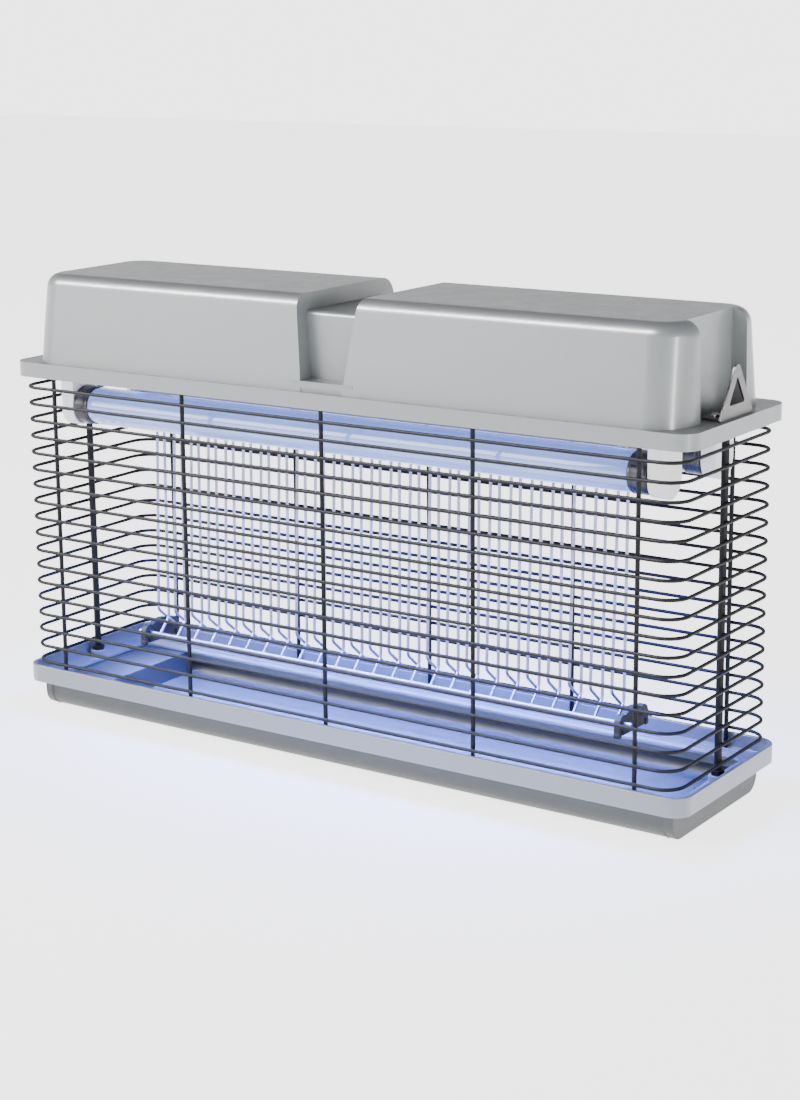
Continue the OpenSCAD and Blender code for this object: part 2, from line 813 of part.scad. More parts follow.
// Ballast: a laminated block on a sheet foot with a screw hole at each end
module ballast(sy) {
    half = ballast_size[0] / 2;
    wide = ballast_size[1] / 2;
    difference() {
        union() {
            block([ballast_x - half, sy * ballast_y - wide, plate_top],
                  [ballast_x + half, sy * ballast_y + wide, plate_top + ballast_size[2]]);
            block([ballast_x - half - ballast_foot, sy * ballast_y - wide + ballast_foot_inset, plate_top],
                  [ballast_x + half + ballast_foot, sy * ballast_y + wide - ballast_foot_inset,
                   plate_top + ballast_sheet]);
        }
        for (sx = ends)
            bar_z(ballast_x + sx * (half + ballast_foot / 2), sy * ballast_y, plate_top - 1,
                  plate_top + ballast_sheet + 1, gear_hole);
    }
}

module ballast_front() color([0.45, 0.47, 0.50]) ballast(-1);
module ballast_rear() color([0.45, 0.47, 0.50]) ballast(1);

module ballast_screws() color(steel) {
    for (sx = ends, sy = sides)
        translate([ballast_x + sx * (ballast_size[0] + ballast_foot) / 2, sy * ballast_y,
                   plate_top + ballast_sheet])
            rotate([180, 0, 0]) screw_up(gear_hole, ballast_sheet, gear_head_radius, pan_head_height);
}

module starter_sockets() color("white") {
    for (sy = sides) difference() {
        block([socket_x - socket_size / 2, sy * socket_y - socket_size / 2, plate_top],
              [socket_x + socket_size / 2, sy * socket_y + socket_size / 2, plate_top + socket_height]);
        bar_z(socket_x, sy * socket_y, plate_top + socket_floor, plate_top + socket_height + 1,
              starter_radius + starter_room);
    }
}

module starters() color("gainsboro") {
    for (sy = sides) {
        top = plate_top + socket_floor + starter_height;
        bar_z(socket_x, sy * socket_y, plate_top + socket_floor, top, starter_radius);
        bar_z(socket_x, sy * socket_y, top - starter_neck, top + starter_neck, starter_radius - starter_neck);
    }
}

// Shell-type transformer core: a frame with a middle leg through the coil
module transformer_core() color([0.42, 0.42, 0.44]) {
    a = core_size / 2;
    low = plate_top;
    difference() {
        block([core_x - a[0], -a[1], low], [core_x + a[0], a[1], low + core_size[2]]);
        for (sx = ends)
            block([core_x + sx * core_window_x - core_window_half, -a[1] - 1, low + core_yoke],
                  [core_x + sx * core_window_x + core_window_half, a[1] + 1, low + core_size[2] - core_yoke]);
    }
    for (sx = ends) difference() {
        foot_x = core_x + sx * (a[0] + core_foot / 2);
        block([foot_x - core_foot / 2, -core_foot_half, low],
              [foot_x + core_foot / 2, core_foot_half, low + core_sheet]);
        bar_z(foot_x, 0, low - 1, low + core_sheet + 1, gear_hole);
    }
}

module transformer_coil() color([0.75, 0.45, 0.2]) {
    a = coil_size / 2;
    middle = plate_top + core_size[2] / 2;
    difference() {
        block([core_x - a[0] + coil_room, -a[1], middle - a[2]],
              [core_x + a[0] - coil_room, a[1], middle + a[2]]);
        block([core_x - core_leg / 2, -core_size[1] / 2, middle - a[2] - 1],
              [core_x + core_leg / 2, core_size[1] / 2, middle + a[2] + 1]);
    }
}

module transformer_screws() color(steel) {
    for (sx = ends)
        translate([core_x + sx * (core_size[0] + core_foot) / 2, 0, plate_top + core_sheet])
            rotate([180, 0, 0]) screw_up(gear_hole, core_sheet, gear_head_radius, pan_head_height);
}

module terminal_block() color("white") {
    a = block_size / 2;
    difference() {
        block([-a[0], -a[1], plate_top], [a[0], a[1], plate_top + block_size[2]]);
        for (i = [-1 : 1]) {
            bar_y(i * way_pitch, -a[1] - 1, a[1] + 1, plate_top + way_z, way_radius);
            for (sy = sides)
                bar_z(i * way_pitch, sy * way_screw_y, plate_top + way_z, plate_top + block_size[2] + 1,
                      way_radius);
        }
    }
}

module terminal_screws() color(steel) {
    for (i = [-1 : 1], sy = sides)
        bar_z(i * way_pitch, sy * way_screw_y, plate_top + way_screw_low, plate_top + way_screw_high,
              way_radius);
}

module cord_gland() color([0.15, 0.15, 0.16]) {
    low = wall_inside_y - gland_inside;
    difference() {
        union() {
            bar_y(0, low, gland_face_y + 1, gland_z, gland_radius);
            bar_y(0, gland_face_y, gland_face_y + gland_flange, gland_z, gland_flange_radius);
            bar_y(0, gland_face_y, gland_face_y + gland_flange + gland_nose, gland_z, gland_radius);
        }
        bar_y(0, low - 1, gland_face_y + gland_flange + gland_nose + 1, gland_z, gland_bore);
    }
}

module gland_nut() color([0.15, 0.15, 0.16]) {
    difference() {
        translate([0, wall_inside_y - gland_nut_height, gland_z]) rotate([-90, 0, 0])
            cylinder(h = gland_nut_height, r = gland_nut_radius, $fn = 6);
        bar_y(0, wall_inside_y - gland_nut_height - 1, wall_inside_y + 1, gland_z, gland_radius);
    }
}

// Rings of points round a route, for a lead of round section
function ring_at(p, along, radius, count) =
    let (u = abs(along[2]) > 0.9 ? [1, 0, 0] : cross(along, [0, 0, 1]) / norm(cross(along, [0, 0, 1])),
         v = cross(u, along))
    [for (i = [0 : count - 1]) p + radius * (cos(360 * i / count) * u + sin(360 * i / count) * v)];

function unit(v) = v / norm(v);

// Direction of a route at one of its points
function heading(route, i) =
    let (n = len(route) - 1)
    unit(i == 0 ? route[1] - route[0] : i == n ? route[n] - route[n - 1] :
         unit(route[i] - route[i - 1]) + unit(route[i + 1] - route[i]));

// An insulated lead along a route
module lead(route) {
    n = len(route);
    count = lead_sides;
    points = [for (i = [0 : n - 1]) each ring_at(route[i], heading(route, i), lead_radius, count)];
    walls = [for (i = [0 : n - 2], j = [0 : count - 1])
        let (k = (j + 1) % count, a = i * count, b = a + count)
        each [[a + j, a + k, b + j], [a + k, b + k, b + j]]];
    first = [for (j = [count - 1 : -1 : 0]) j];
    last = [for (j = [0 : count - 1]) (n - 1) * count + j];
    polyhedron(points, concat(walls, [first, last]), convexity = 4);
}

module internal_wiring() color("firebrick") {
    low = plate_top + way_z;
    for (sy = sides) {
        lead([
            [-way_pitch, sy * block_end, low], [-way_pitch, sy * 14, low], [-24, sy * 20, low + 6],
            [-46, sy * 20, low + 6], [ballast_end, sy * 20, low + 6]
        ]);
        lead([
            [way_pitch, sy * block_end, low], [way_pitch, sy * 14, low], [24, sy * 20, low],
            [50, sy * 22, low], [socket_x - socket_reach, sy * 22, low]
        ]);
        lead([
            [socket_x + socket_reach, sy * 22, low], [96, sy * 22, low + 2],
            [110, sy * 14, low + 10], [119, sy * 10, low + 13]
        ]);
    }
    lead([
        [0, -block_end, low], [0, -16, low], [8, -26, low + 20],
        [4, -20, gland_z - 8], [0, 0, gland_z], [0, 30, gland_z]
    ]);
}

top_housing();
chassis_plate();
housing_screws();
hanging_bracket_left();
hanging_bracket_right();
bracket_screws();
guard_rings();
guard_bars();
post_left();
post_right();
post_nuts();
base_rim();
collecting_tray();
lampholder_front_left();
lampholder_front_right();
lampholder_rear_left();
lampholder_rear_right();
lampholder_screws();
rotors_front();
rotors_rear();
tube_glass_front();
tube_glass_rear();
tube_caps_front();
tube_caps_rear();
tube_pins_front();
tube_pins_rear();
live_rails();
live_wires();
return_rails();
return_wires();
grid_spacer_left();
grid_spacer_right();
grid_hanger_left();
grid_hanger_right();
ballast_front();
ballast_rear();
ballast_screws();
starter_sockets();
starters();
transformer_core();
transformer_coil();
transformer_screws();
terminal_block();
terminal_screws();
cord_gland();
gland_nut();
internal_wiring();
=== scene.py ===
import json
import math

import bmesh
import bpy
from mathutils import Matrix, Vector


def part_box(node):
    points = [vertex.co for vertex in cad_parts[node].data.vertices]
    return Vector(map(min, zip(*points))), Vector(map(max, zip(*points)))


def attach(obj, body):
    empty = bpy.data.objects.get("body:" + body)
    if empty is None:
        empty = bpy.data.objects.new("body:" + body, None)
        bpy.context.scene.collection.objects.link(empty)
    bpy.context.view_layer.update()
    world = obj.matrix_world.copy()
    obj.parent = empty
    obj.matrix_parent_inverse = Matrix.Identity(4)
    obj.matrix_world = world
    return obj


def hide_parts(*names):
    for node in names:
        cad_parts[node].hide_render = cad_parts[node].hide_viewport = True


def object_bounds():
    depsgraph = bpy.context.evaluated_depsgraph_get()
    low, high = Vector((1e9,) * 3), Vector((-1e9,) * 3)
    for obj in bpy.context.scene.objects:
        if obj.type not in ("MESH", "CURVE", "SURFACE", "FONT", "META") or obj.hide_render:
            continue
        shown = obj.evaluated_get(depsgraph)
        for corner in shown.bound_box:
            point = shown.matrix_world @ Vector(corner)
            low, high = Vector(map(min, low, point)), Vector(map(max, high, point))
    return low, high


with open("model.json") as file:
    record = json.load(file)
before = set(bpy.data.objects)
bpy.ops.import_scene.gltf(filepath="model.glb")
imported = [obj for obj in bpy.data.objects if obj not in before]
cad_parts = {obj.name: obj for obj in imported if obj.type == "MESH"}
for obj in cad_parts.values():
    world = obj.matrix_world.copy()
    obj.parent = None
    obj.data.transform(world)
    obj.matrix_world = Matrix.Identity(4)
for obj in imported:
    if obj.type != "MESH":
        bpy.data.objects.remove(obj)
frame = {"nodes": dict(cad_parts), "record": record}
cad_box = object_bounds()
NODES = frame["nodes"]
MM = 0.001
WORLD_STRENGTH = 3.5
FLOOR_GLOW = 2.75
FLOOR_REACH = 6
FLOOR_GAP = 0.0002
# Sky colours by height, from the horizon up
SKY = ((0.045, (1, 1, 1)), (0.10, (0.30, 0.30, 0.305)),
       (0.32, (0.15, 0.15, 0.155)), (0.85, (0.05, 0.05, 0.052)))
# Colours of the light above the tubes, below them and over the tray's well
UV = (0.045, 0.095, 1.0)
PALE_UV = (0.20, 0.27, 1.0)
WELL_UV = (0.12, 0.19, 1.0)
# Half the glass's lit length, and how far its ends darken
LIT_HALF = 0.2062
END_FADE = 0.060
# Distance within which a CAD mesh's vertices are one, and the angle that still counts as flat
MERGE = 2e-6
FLAT = math.radians(1.2)
NORMAL_WEIGHT = 90


# ---------------------------------------------------------------- camera

AZIMUTH, ELEVATION, ROLL = math.radians(34.733), math.radians(13.057), math.radians(-0.631)
TARGET = Vector((0.0, 0.0, 0.1557))
DISTANCE = 1.4527
LENS = 100.95
SHIFT = (0.0282, -0.0437)


def make_camera():
    to_camera = Vector((math.sin(AZIMUTH) * math.cos(ELEVATION),
                        -math.cos(AZIMUTH) * math.cos(ELEVATION), math.sin(ELEVATION)))
    right = (-to_camera).cross(Vector((0, 0, 1))).normalized()
    up = right.cross(-to_camera)
    rolled_right = math.cos(ROLL) * right + math.sin(ROLL) * up
    rolled_up = math.cos(ROLL) * up - math.sin(ROLL) * right
    data = bpy.data.cameras.new("camera")
    data.sensor_fit, data.sensor_width, data.lens = "HORIZONTAL", 36.0, LENS
    data.shift_x, data.shift_y = SHIFT
    camera = bpy.data.objects.new("camera", data)
    bpy.context.scene.collection.objects.link(camera)
    turn = Matrix((rolled_right, rolled_up, to_camera)).transposed().to_4x4()
    camera.matrix_world = Matrix.Translation(TARGET + DISTANCE * to_camera) @ turn
    bpy.context.scene.camera = camera


# ---------------------------------------------------------------- materials

class Nodes:
    """A material's node tree, with short ways to add and join nodes."""

    def __init__(self, name):
        self.material = bpy.data.materials.new(name)
        self.material.use_nodes = True
        self.tree = self.material.node_tree
        self.shader = self.tree.nodes["Principled BSDF"]
        self.coords = self.add("ShaderNodeTexCoord").outputs["Object"]

    def add(self, kind, **values):
        node = self.tree.nodes.new(kind)
        for key, value in values.items():
            if key in node.inputs:
                node.inputs[key].default_value = value
            else:
                setattr(node, key, value)
        return node

    def link(self, a, b):
        self.tree.links.new(a, b)

    def noise(self, scale, detail=4.0, stretch=(1, 1, 1), roughness=0.5):
        mapping = self.add("ShaderNodeMapping")
        mapping.inputs["Scale"].default_value = stretch
        self.link(self.coords, mapping.inputs["Vector"])
        noise = self.add("ShaderNodeTexNoise", Scale=scale, Detail=detail, Roughness=roughness)
        self.link(mapping.outputs[0], noise.inputs["Vector"])
        return noise.outputs["Fac"]

    def ramp(self, fac, low, high, a=0.0, b=1.0):
        """A colour ramp between two grey values or colours, over a..b of fac."""
        ramp = self.add("ShaderNodeValToRGB")
        for element, place, value in zip(ramp.color_ramp.elements, (a, b), (low, high)):
            element.position = place
            element.color = (*value, 1) if isinstance(value, tuple) else (value, value, value, 1)
        self.link(fac, ramp.inputs["Fac"])
        return ramp.outputs["Color"]

    def mix(self, fac, a, b, blend="MIX"):
        node = self.add("ShaderNodeMix", data_type="RGBA", blend_type=blend)
        for socket, value in ((node.inputs["Factor"], fac), (node.inputs["A"], a), (node.inputs["B"], b)):
            if hasattr(value, "is_linked"):
                self.link(value, socket)
            elif isinstance(value, tuple):
                socket.default_value = (*value, 1)
            else:
                socket.default_value = value
        return node.outputs["Result"]

    def bumps(self, *layers):
        """Chains bumps: (height, strength, distance in metres)."""
        normal = None
        for height, strength, distance in layers:
            bump = self.add("ShaderNodeBump", Strength=strength, Distance=distance)
            self.link(height, bump.inputs["Height"])
            if normal:
                self.link(normal, bump.inputs["Normal"])
            normal = bump.outputs["Normal"]
        self.link(normal, self.shader.inputs["Normal"])

    def set(self, **values):
        for key, value in values.items():
            socket = self.shader.inputs[key.replace("_", " ")]
            if hasattr(value, "is_linked"):
                self.link(value, socket)
            elif isinstance(value, tuple):
                socket.default_value = (*value, 1)
            else:
                socket.default_value = value


def scaled(values, k):
    """A colour or size times k."""
    return tuple(v * k for v in values)


def moulded_plastic(name, colour, rough=0.42, grain=0.35, dirt=0.06, gloss=0.0):
    """Moulded plastic with a spark-eroded grain, faint flow marks and scuffs."""
    n = Nodes(name)
    flow = n.noise(9, 3, (0.35, 1, 1))
    speckle = n.noise(1400, 2)
    scuff = n.noise(60, 6, (1, 1, 4), 0.7)
    base = n.mix(n.ramp(flow, 0.0, 1.0, 0.35, 0.65), scaled(colour, 1 - dirt), scaled(colour, 1 + dirt * 0.5))
    base = n.mix(n.ramp(speckle, 0.0, 0.5, 0.50, 0.72), base, scaled(colour, 0.90))
    n.set(Base_Color=base, Roughness=n.ramp(scuff, rough - 0.05, rough + 0.08, 0.35, 0.7),
          IOR=1.5, Coat_Weight=gloss, Coat_Roughness=0.22)
    n.bumps((n.noise(900, 3), grain, 0.00004), (flow, 0.25, 0.0002))
    return n.material


def coated_wire(name, colour, rough=0.32):
    """Dipped or powder-coated wire: orange peel, thin rubbed spots."""
    n = Nodes(name)
    peel = n.noise(700, 2)
    rub = n.noise(160, 5, (1, 1, 1), 0.7)
    n.set(Base_Color=n.mix(n.ramp(rub, 0.0, 1.0, 0.55, 0.8), colour, scaled(colour, 3.0)),
          Roughness=n.ramp(peel, rough, rough + 0.16, 0.3, 0.7), Specular_IOR_Level=0.18)
    n.bumps((peel, 0.35, 0.00006))
    return n.material


def drawn_metal(name, colour, rough=0.24, stretch=(0.06, 1, 1), tarnish=0.12):
    """Metal with fine draw or brush lines along one axis and light tarnish."""
    n = Nodes(name)
    lines = n.noise(900, 4, stretch)
    cloud = n.noise(45, 5, (1, 1, 1), 0.6)
    base = n.mix(n.ramp(cloud, 0.0, 1.0, 0.4, 0.75), colour, scaled(colour, 1 - tarnish))
    n.set(Base_Color=base, Metallic=1.0, Roughness=n.ramp(lines, rough - 0.06, rough + 0.14, 0.3, 0.7))
    n.bumps((lines, 0.3, 0.00003))
    return n.material


def lit_glass(name):
    """Blacklight glass that glows, darker towards the cathodes at its ends, with a painted reflection of the
    blue-lit plate above that makes its upper side deeper blue.
    """
    n = Nodes(name)
    split = n.add("ShaderNodeSeparateXYZ")
    n.link(n.coords, split.inputs[0])
    along = n.add("ShaderNodeMath", operation="ABSOLUTE")
    n.link(split.outputs["X"], along.inputs[0])
    near_end = n.add("ShaderNodeMapRange")
    near_end.inputs["From Min"].default_value = LIT_HALF - END_FADE
    near_end.inputs["From Max"].default_value = LIT_HALF
    n.link(along.outputs[0], near_end.inputs["Value"])
    # Painted reflection: upward-facing glass is mixed towards deep blue to stand in for the lit plate above
    # it
    facing = n.add("ShaderNodeSeparateXYZ")
    n.link(n.add("ShaderNodeNewGeometry").outputs["Normal"], facing.inputs[0])
    painted_top_reflection = n.add("ShaderNodeMapRange")
    painted_top_reflection.inputs["From Min"].default_value = -0.5
    painted_top_reflection.inputs["From Max"].default_value = 0.9
    n.link(facing.outputs["Z"], painted_top_reflection.inputs["Value"])
    cloud = n.noise(30, 3, (0.4, 1, 1))
    pale = n.mix(n.ramp(cloud, 0.0, 1.0, 0.3, 0.7), (0.30, 0.42, 0.92), (0.36, 0.48, 0.96))
    body = n.mix(painted_top_reflection.outputs[0], pale, (0.08, 0.16, 0.85))
    glow = n.mix(near_end.outputs[0], body, (0.07, 0.13, 0.55))
    n.set(Base_Color=(0.20, 0.27, 0.55), Emission_Color=glow, Emission_Strength=0.66,
          Roughness=n.ramp(cloud, 0.05, 0.12), Coat_Weight=1.0, Coat_Roughness=0.04)
    n.bumps((n.noise(120, 2), 0.05, 0.00005))
    return n.material


def make_materials():
    grey = (0.172, 0.186, 0.190)
    return {
        "housing": moulded_plastic("housing_abs_fine_grain", grey, 0.40, 0.25, 0.05, 0.45),
        # Tray plastic: slightly darker than the rim's in itself, and darkened much further as painted shade
        # for its body under the rim
        "tray": moulded_plastic("tray_abs", (0.040, 0.044, 0.044), 0.5, 0.25),
        # The guard's coat is near-black in itself; its faint blue tint is painted blue glow from the tubes
        "guard": coated_wire("guard_powder_coat", (0.0014, 0.0016, 0.0032), 0.46),
        # The grid wires' lavender colour is a painted reflection of the blue tube glow on plain drawn steel
        "grid": drawn_metal("grid_wire_painted_reflection", (0.27, 0.28, 0.46), 0.30, (1, 1, 0.05)),
        "bracket": drawn_metal("stamped_bracket", (0.155, 0.15, 0.155), 0.36, (1, 0.08, 1)),
        "cap": drawn_metal("crimped_cap", (0.065, 0.065, 0.075), 0.28, (1, 0.1, 0.1), 0.25),
        "steel": drawn_metal("stamped_steel", (0.72, 0.72, 0.72), 0.22, (1, 0.08, 1)),
        "zinc": drawn_metal("zinc_sheet", (0.78, 0.79, 0.82), 0.34, (0.05, 1, 1), 0.2),
        "aluminium": drawn_metal("spun_cap", (0.46, 0.47, 0.50), 0.30, (1, 0.1, 0.1), 0.25),
        "brass": drawn_metal("contact_brass", (0.80, 0.60, 0.27), 0.25),
        "white": moulded_plastic("holder_white", (0.78, 0.78, 0.77), 0.34, 0.2, 0.03),
        "ivory": moulded_plastic("insulator_ivory", (0.70, 0.67, 0.57), 0.45, 0.3),
        "black": moulded_plastic("spacer_black", (0.0022, 0.0022, 0.0030), 0.6, 0.3),
        "tube": lit_glass("blacklight_glass"),
        "varnish": moulded_plastic("ballast_varnish", (0.10, 0.105, 0.11), 0.4, 0.5, 0.2),
        "coil": moulded_plastic("coil_wrap", (0.50, 0.24, 0.06), 0.35, 0.3, 0.2),
        "lead": moulded_plastic("lead_cover", (0.42, 0.03, 0.02), 0.35, 0.1),
    }


# ---------------------------------------------------------------- mesh helpers

def new_piece(name, bm, material, body, smooth_angle=35.0):
    mesh = bpy.data.meshes.new(name)
    bm.to_mesh(mesh)
    bm.free()
    mesh.shade_smooth()
    mesh.set_sharp_from_angle(angle=math.radians(smooth_angle))
    obj = bpy.data.objects.new(name, mesh)
    bpy.context.scene.collection.objects.link(obj)
    mesh.materials.append(material)
    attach(obj, body)
    return obj


def body_of(node):
    for body, members in frame["record"]["behaviour"]["bodies"].items():
        if node in members:
            return body


def even_normals(piece):
    """Keeps large flat faces flat in shading beside their rounded edges."""
    weighted = piece.modifiers.new("even_normals", "WEIGHTED_NORMAL")
    weighted.mode = "FACE_AREA"
    weighted.weight = NORMAL_WEIGHT
    weighted.keep_sharp = True


def kept_within(bm, box):
    """Draws in any vertex that rounding has pushed out of the CAD node's own box."""
    for vert in bm.verts:
        vert.co = Vector([min(max(v, low), high) for v, low, high in zip(vert.co, *box)])


def refined(node, material, edge, angle=30.0, segments=3):
    """A copy of a CAD node with flat faces merged and its edges rounded, in place of the node."""
    bm = bmesh.new()
    bm.from_mesh(NODES[node].data)
    bmesh.ops.remove_doubles(bm, verts=bm.verts, dist=MERGE)
    bmesh.ops.dissolve_limit(bm, angle_limit=FLAT, verts=bm.verts, edges=bm.edges)
    sharp = [e for e in bm.edges if len(e.link_faces) == 2 and e.calc_face_angle(0) > math.radians(angle)]
    if edge:
        bmesh.ops.bevel(bm, geom=sharp, offset=edge, segments=segments, profile=0.5, affect="EDGES",
                        clamp_overlap=True)
    kept_within(bm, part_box(node))
    piece = new_piece(node + "_detail", bm, material, body_of(node), 32)
    even_normals(piece)
    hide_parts(node)


def plain_node(node, material, smooth_angle=35.0):
    """A CAD node that keeps its shape, with a finished material."""
    obj = NODES[node]
    obj.data.materials.clear()
    obj.data.materials.append(material)
    obj.data.shade_smooth()
    obj.data.set_sharp_from_angle(angle=math.radians(smooth_angle))
    return obj


def islands(node):
    """The boxes of a node's separate solids, as (low, high), sorted by place."""
    bm = bmesh.new()
    bm.from_mesh(NODES[node].data)
    bmesh.ops.remove_doubles(bm, verts=bm.verts, dist=MERGE)
    seen, boxes = set(), []
    for start in bm.verts:
        if start in seen:
            continue
        stack, members = [start], []
        seen.add(start)
        while stack:
            vert = stack.pop()
            members.append(vert.co.copy())
            for edge in vert.link_edges:
                other = edge.other_vert(vert)
                if other not in seen:
                    seen.add(other)
                    stack.append(other)
        boxes.append(tuple(Vector([pick(p[i] for p in members) for i in range(3)]) for pick in (min, max)))
    bm.free()
    return sorted(boxes, key=lambda b: tuple(round(v, 5) for v in b[0]))


def to_axis(axis, along, a, b):
    """A point from its place along an axis (0 for X, 2 for Z) and two places across it."""
    return (along, a, b) if axis == 0 else (a, b, along)


def lathe(bm, profile, centre, axis=0, segments=56):
    """Turns (along, radius) pairs round an axis through centre. A radius of 0 closes an end."""
    rings = []
    for along, radius in profile:
        if radius == 0:
            rings.append([bm.verts.new(centre + Vector(to_axis(axis, along, 0, 0)))])
            continue
        ring = []
        for i in range(segments):
            angle = 2 * math.pi * i / segments
            offset = to_axis(axis, along, radius * math.cos(angle), radius * math.sin(angle))
            ring.append(bm.verts.new(centre + Vector(offset)))
        rings.append(ring)
    for a, b in zip(rings, rings[1:]):
        for i in range(segments):
            j = (i + 1) % segments
            corners = []
            for vert in (a[i % len(a)], a[j % len(a)], b[j % len(b)], b[i % len(b)]):
                if vert not in corners:
                    corners.append(vert)
            bm.faces.new(corners)
    return rings


def pellet(bm, centre, radii, across=8, down=5):
    """A small weld nugget: a squashed ball."""
    rows = []
    for k in range(down + 1):
        polar = math.pi * k / down
        count = 1 if k in (0, down) else across
        rows.append([bm.verts.new(centre + Vector((
            radii[0] * math.sin(polar) * math.cos(2 * math.pi * i / count),
            radii[1] * math.sin(polar) * math.sin(2 * math.pi * i / count),
            radii[2] * math.cos(polar)))) for i in range(count)])
    for a, b in zip(rows, rows[1:]):
        for i in range(across):
            j = (i + 1) % across
            corners = []
            for vert in (a[i % len(a)], b[i % len(b)], b[j % len(b)], a[j % len(a)]):
                if vert not in corners:
                    corners.append(vert)
            bm.faces.new(corners)


def recalculated(bm):
    bmesh.ops.recalc_face_normals(bm, faces=bm.faces)
    return bm


# ---------------------------------------------------------------- detailed pieces

# A screw head's cross recess, as shares of the head's radius
CROSS_ARM = 0.17
CROSS_REACH = 0.52
RECESS_DISC = 0.66
# Facets round a screw's head and shank, and a thread's pitch
HEAD_FACETS = 32
SHANK_FACETS = 20
THREAD_PITCH = 0.8 * MM
# Steps in a cap's wall, as (depth, change of radius) in millimetres from its inner end
CRIMPS = ((0.0, -0.75), (0.0, -0.25), (0.5, 0.0), (1.7, 0.0), (2.1, -0.3), (2.7, -0.3), (3.1, 0.0),
          (9.6, 0.0), (9.9, -0.22), (10.3, -0.22), (10.6, 0.0), (11.7, 0.0), (12.3, -0.35))
# Angles of the corners of a lampholder's faceted barrel
BARREL = (180, 212, 244, 270, 296, 328, 360)
COVER_STAND = 0.3 * MM
COVER_EDGE = 0.7 * MM
# A tube's drawn-in shoulder, as (depth inward from the cap's edge, sink) in millimetres
SHOULDER = ((-1.2, 0.5), (0.6, 0.5), (1.8, 0.36), (3.2, 0.1), (4.6, 0.0))
GLASS_RINGS = (0.15, 0.1, 0.05)
# Half sizes of the weld nuggets, as shares of the wire's width or the rail's radius
BAR_WELD = (0.75, 0.45, 0.56)
POST_WELD = (0.45, 0.85, 0.56)
RAIL_WELD = (0.95, 0.6, 0.6)


def screw(bm, x, y, tip, top, head_radius, shank_radius, head_height):
    """A pan-head screw with a cross recess. tip is the end of the thread and top the head's crown."""
    way = 1 if top > tip else -1
    seat = top - way * head_height
    centre = Vector((x, y, 0))
    disc = RECESS_DISC * head_radius
    profile = [(seat, shank_radius), (seat, head_radius * 0.97),
               (seat + way * head_height * 0.25, head_radius),
               (seat + way * head_height * 0.6, head_radius * 0.95),
               (top - way * head_height * 0.12, head_radius * 0.82), (top, disc)]
    rings = lathe(bm, profile, centre, 2, HEAD_FACETS)
    arm, reach = CROSS_ARM * head_radius, CROSS_REACH * head_radius
    outline = [(arm, arm), (arm, reach), (-arm, reach), (-arm, arm), (-reach, arm), (-reach, -arm),
               (-arm, -arm), (-arm, -reach), (arm, -reach), (arm, -arm), (reach, -arm), (reach, arm)]
    rim = [bm.verts.new((x + a, y + b, top)) for a, b in outline]
    corners = len(outline)
    edges = [bm.edges.new((rim[i], rim[(i + 1) % corners])) for i in range(corners)]
    circle = [bm.edges.get((rings[-1][i], rings[-1][(i + 1) % HEAD_FACETS])) for i in range(HEAD_FACETS)]
    bmesh.ops.triangle_fill(bm, edges=edges + circle, use_beauty=True)
    floor = [bm.verts.new((x + a * 0.8, y + b * 0.8, top - way * head_height * 0.6)) for a, b in outline]
    for i in range(corners):
        j = (i + 1) % corners
        bm.faces.new((rim[i], rim[j], floor[j], floor[i]))
    bm.faces.new(floor)
    length = abs(seat - tip)
    turns = max(1, int(length / THREAD_PITCH))
    thread = [(tip, 0), (tip, shank_radius * 0.8)]
    for k in range(turns):
        low = tip + way * length * k / turns
        thread += [(low + way * 0.25 * length / turns, shank_radius * 0.86),
                   (low + way * 0.7 * length / turns, shank_radius)]
    lathe(bm, thread + [(seat, shank_radius * 0.86), (seat, shank_radius)], centre, 2, SHANK_FACETS)


def make_screws(node, material, head_up, head_height, shank_radius):
    bm = bmesh.new()
    for low, high in islands(node):
        middle = (low + high) / 2
        tip, top = (low.z, high.z) if head_up else (high.z, low.z)
        screw(bm, middle.x, middle.y, tip, top, (high.x - low.x) / 2, shank_radius, head_height)
    piece = new_piece(node + "_crossed", recalculated(bm), material, body_of(node))
    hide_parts(node)


def make_caps(node, material, insulator):
    """Crimped end caps, each with a sunk insulating disc round its two pins."""
    shell, discs = bmesh.new(), bmesh.new()
    for low, high in islands(node):
        middle = (low + high) / 2
        side = 1 if middle.x > 0 else -1
        inner = low.x if side > 0 else high.x
        radius, length = (high.z - low.z) / 2, high.x - low.x
        profile = [(inner + side * d * MM, radius + k * MM) for d, k in CRIMPS]
        end = inner + side * length
        profile += [(end, radius - 0.9 * MM), (end, radius - 3.4 * MM),
                    (end - side * 0.5 * MM, radius - 3.7 * MM),
                    (end - side * 0.9 * MM, radius - 3.7 * MM)]
        centre = Vector((0, middle.y, middle.z))
        lathe(shell, profile, centre)
        face = end - side * 0.5 * MM
        lathe(discs, [(face - side * 0.4 * MM, radius - 3.65 * MM), (face, radius - 3.9 * MM),
                      (face, radius - 5.4 * MM), (face + side * 0.25 * MM, radius - 5.7 * MM),
                      (face + side * 0.25 * MM, 0)], centre)
    body = body_of(node)
    piece = new_piece(node + "_crimped", recalculated(shell), material, body)
    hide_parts(node)
    new_piece(node + "_discs", recalculated(discs), insulator, body)


def make_glass(node, caps, material):
    """A glass tube with the drawn-in shoulders that its caps are cemented over."""
    low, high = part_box(node)
    middle = (Vector(low) + Vector(high)) / 2
    radius = (high[2] - low[2]) / 2
    edge = min(abs(v) for b in islands(caps) for v in (b[0].x, b[1].x))
    half = [(edge - depth * MM, radius - sink * MM) for depth, sink in SHOULDER]
    half += [(x, radius) for x in GLASS_RINGS]
    bm = bmesh.new()
    lathe(bm, half + [(-x, r) for x, r in reversed(half)], Vector((0, middle.y, middle.z)), 0, 72)
    piece = new_piece(node + "_drawn", recalculated(bm), material, body_of(node))
    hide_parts(node)


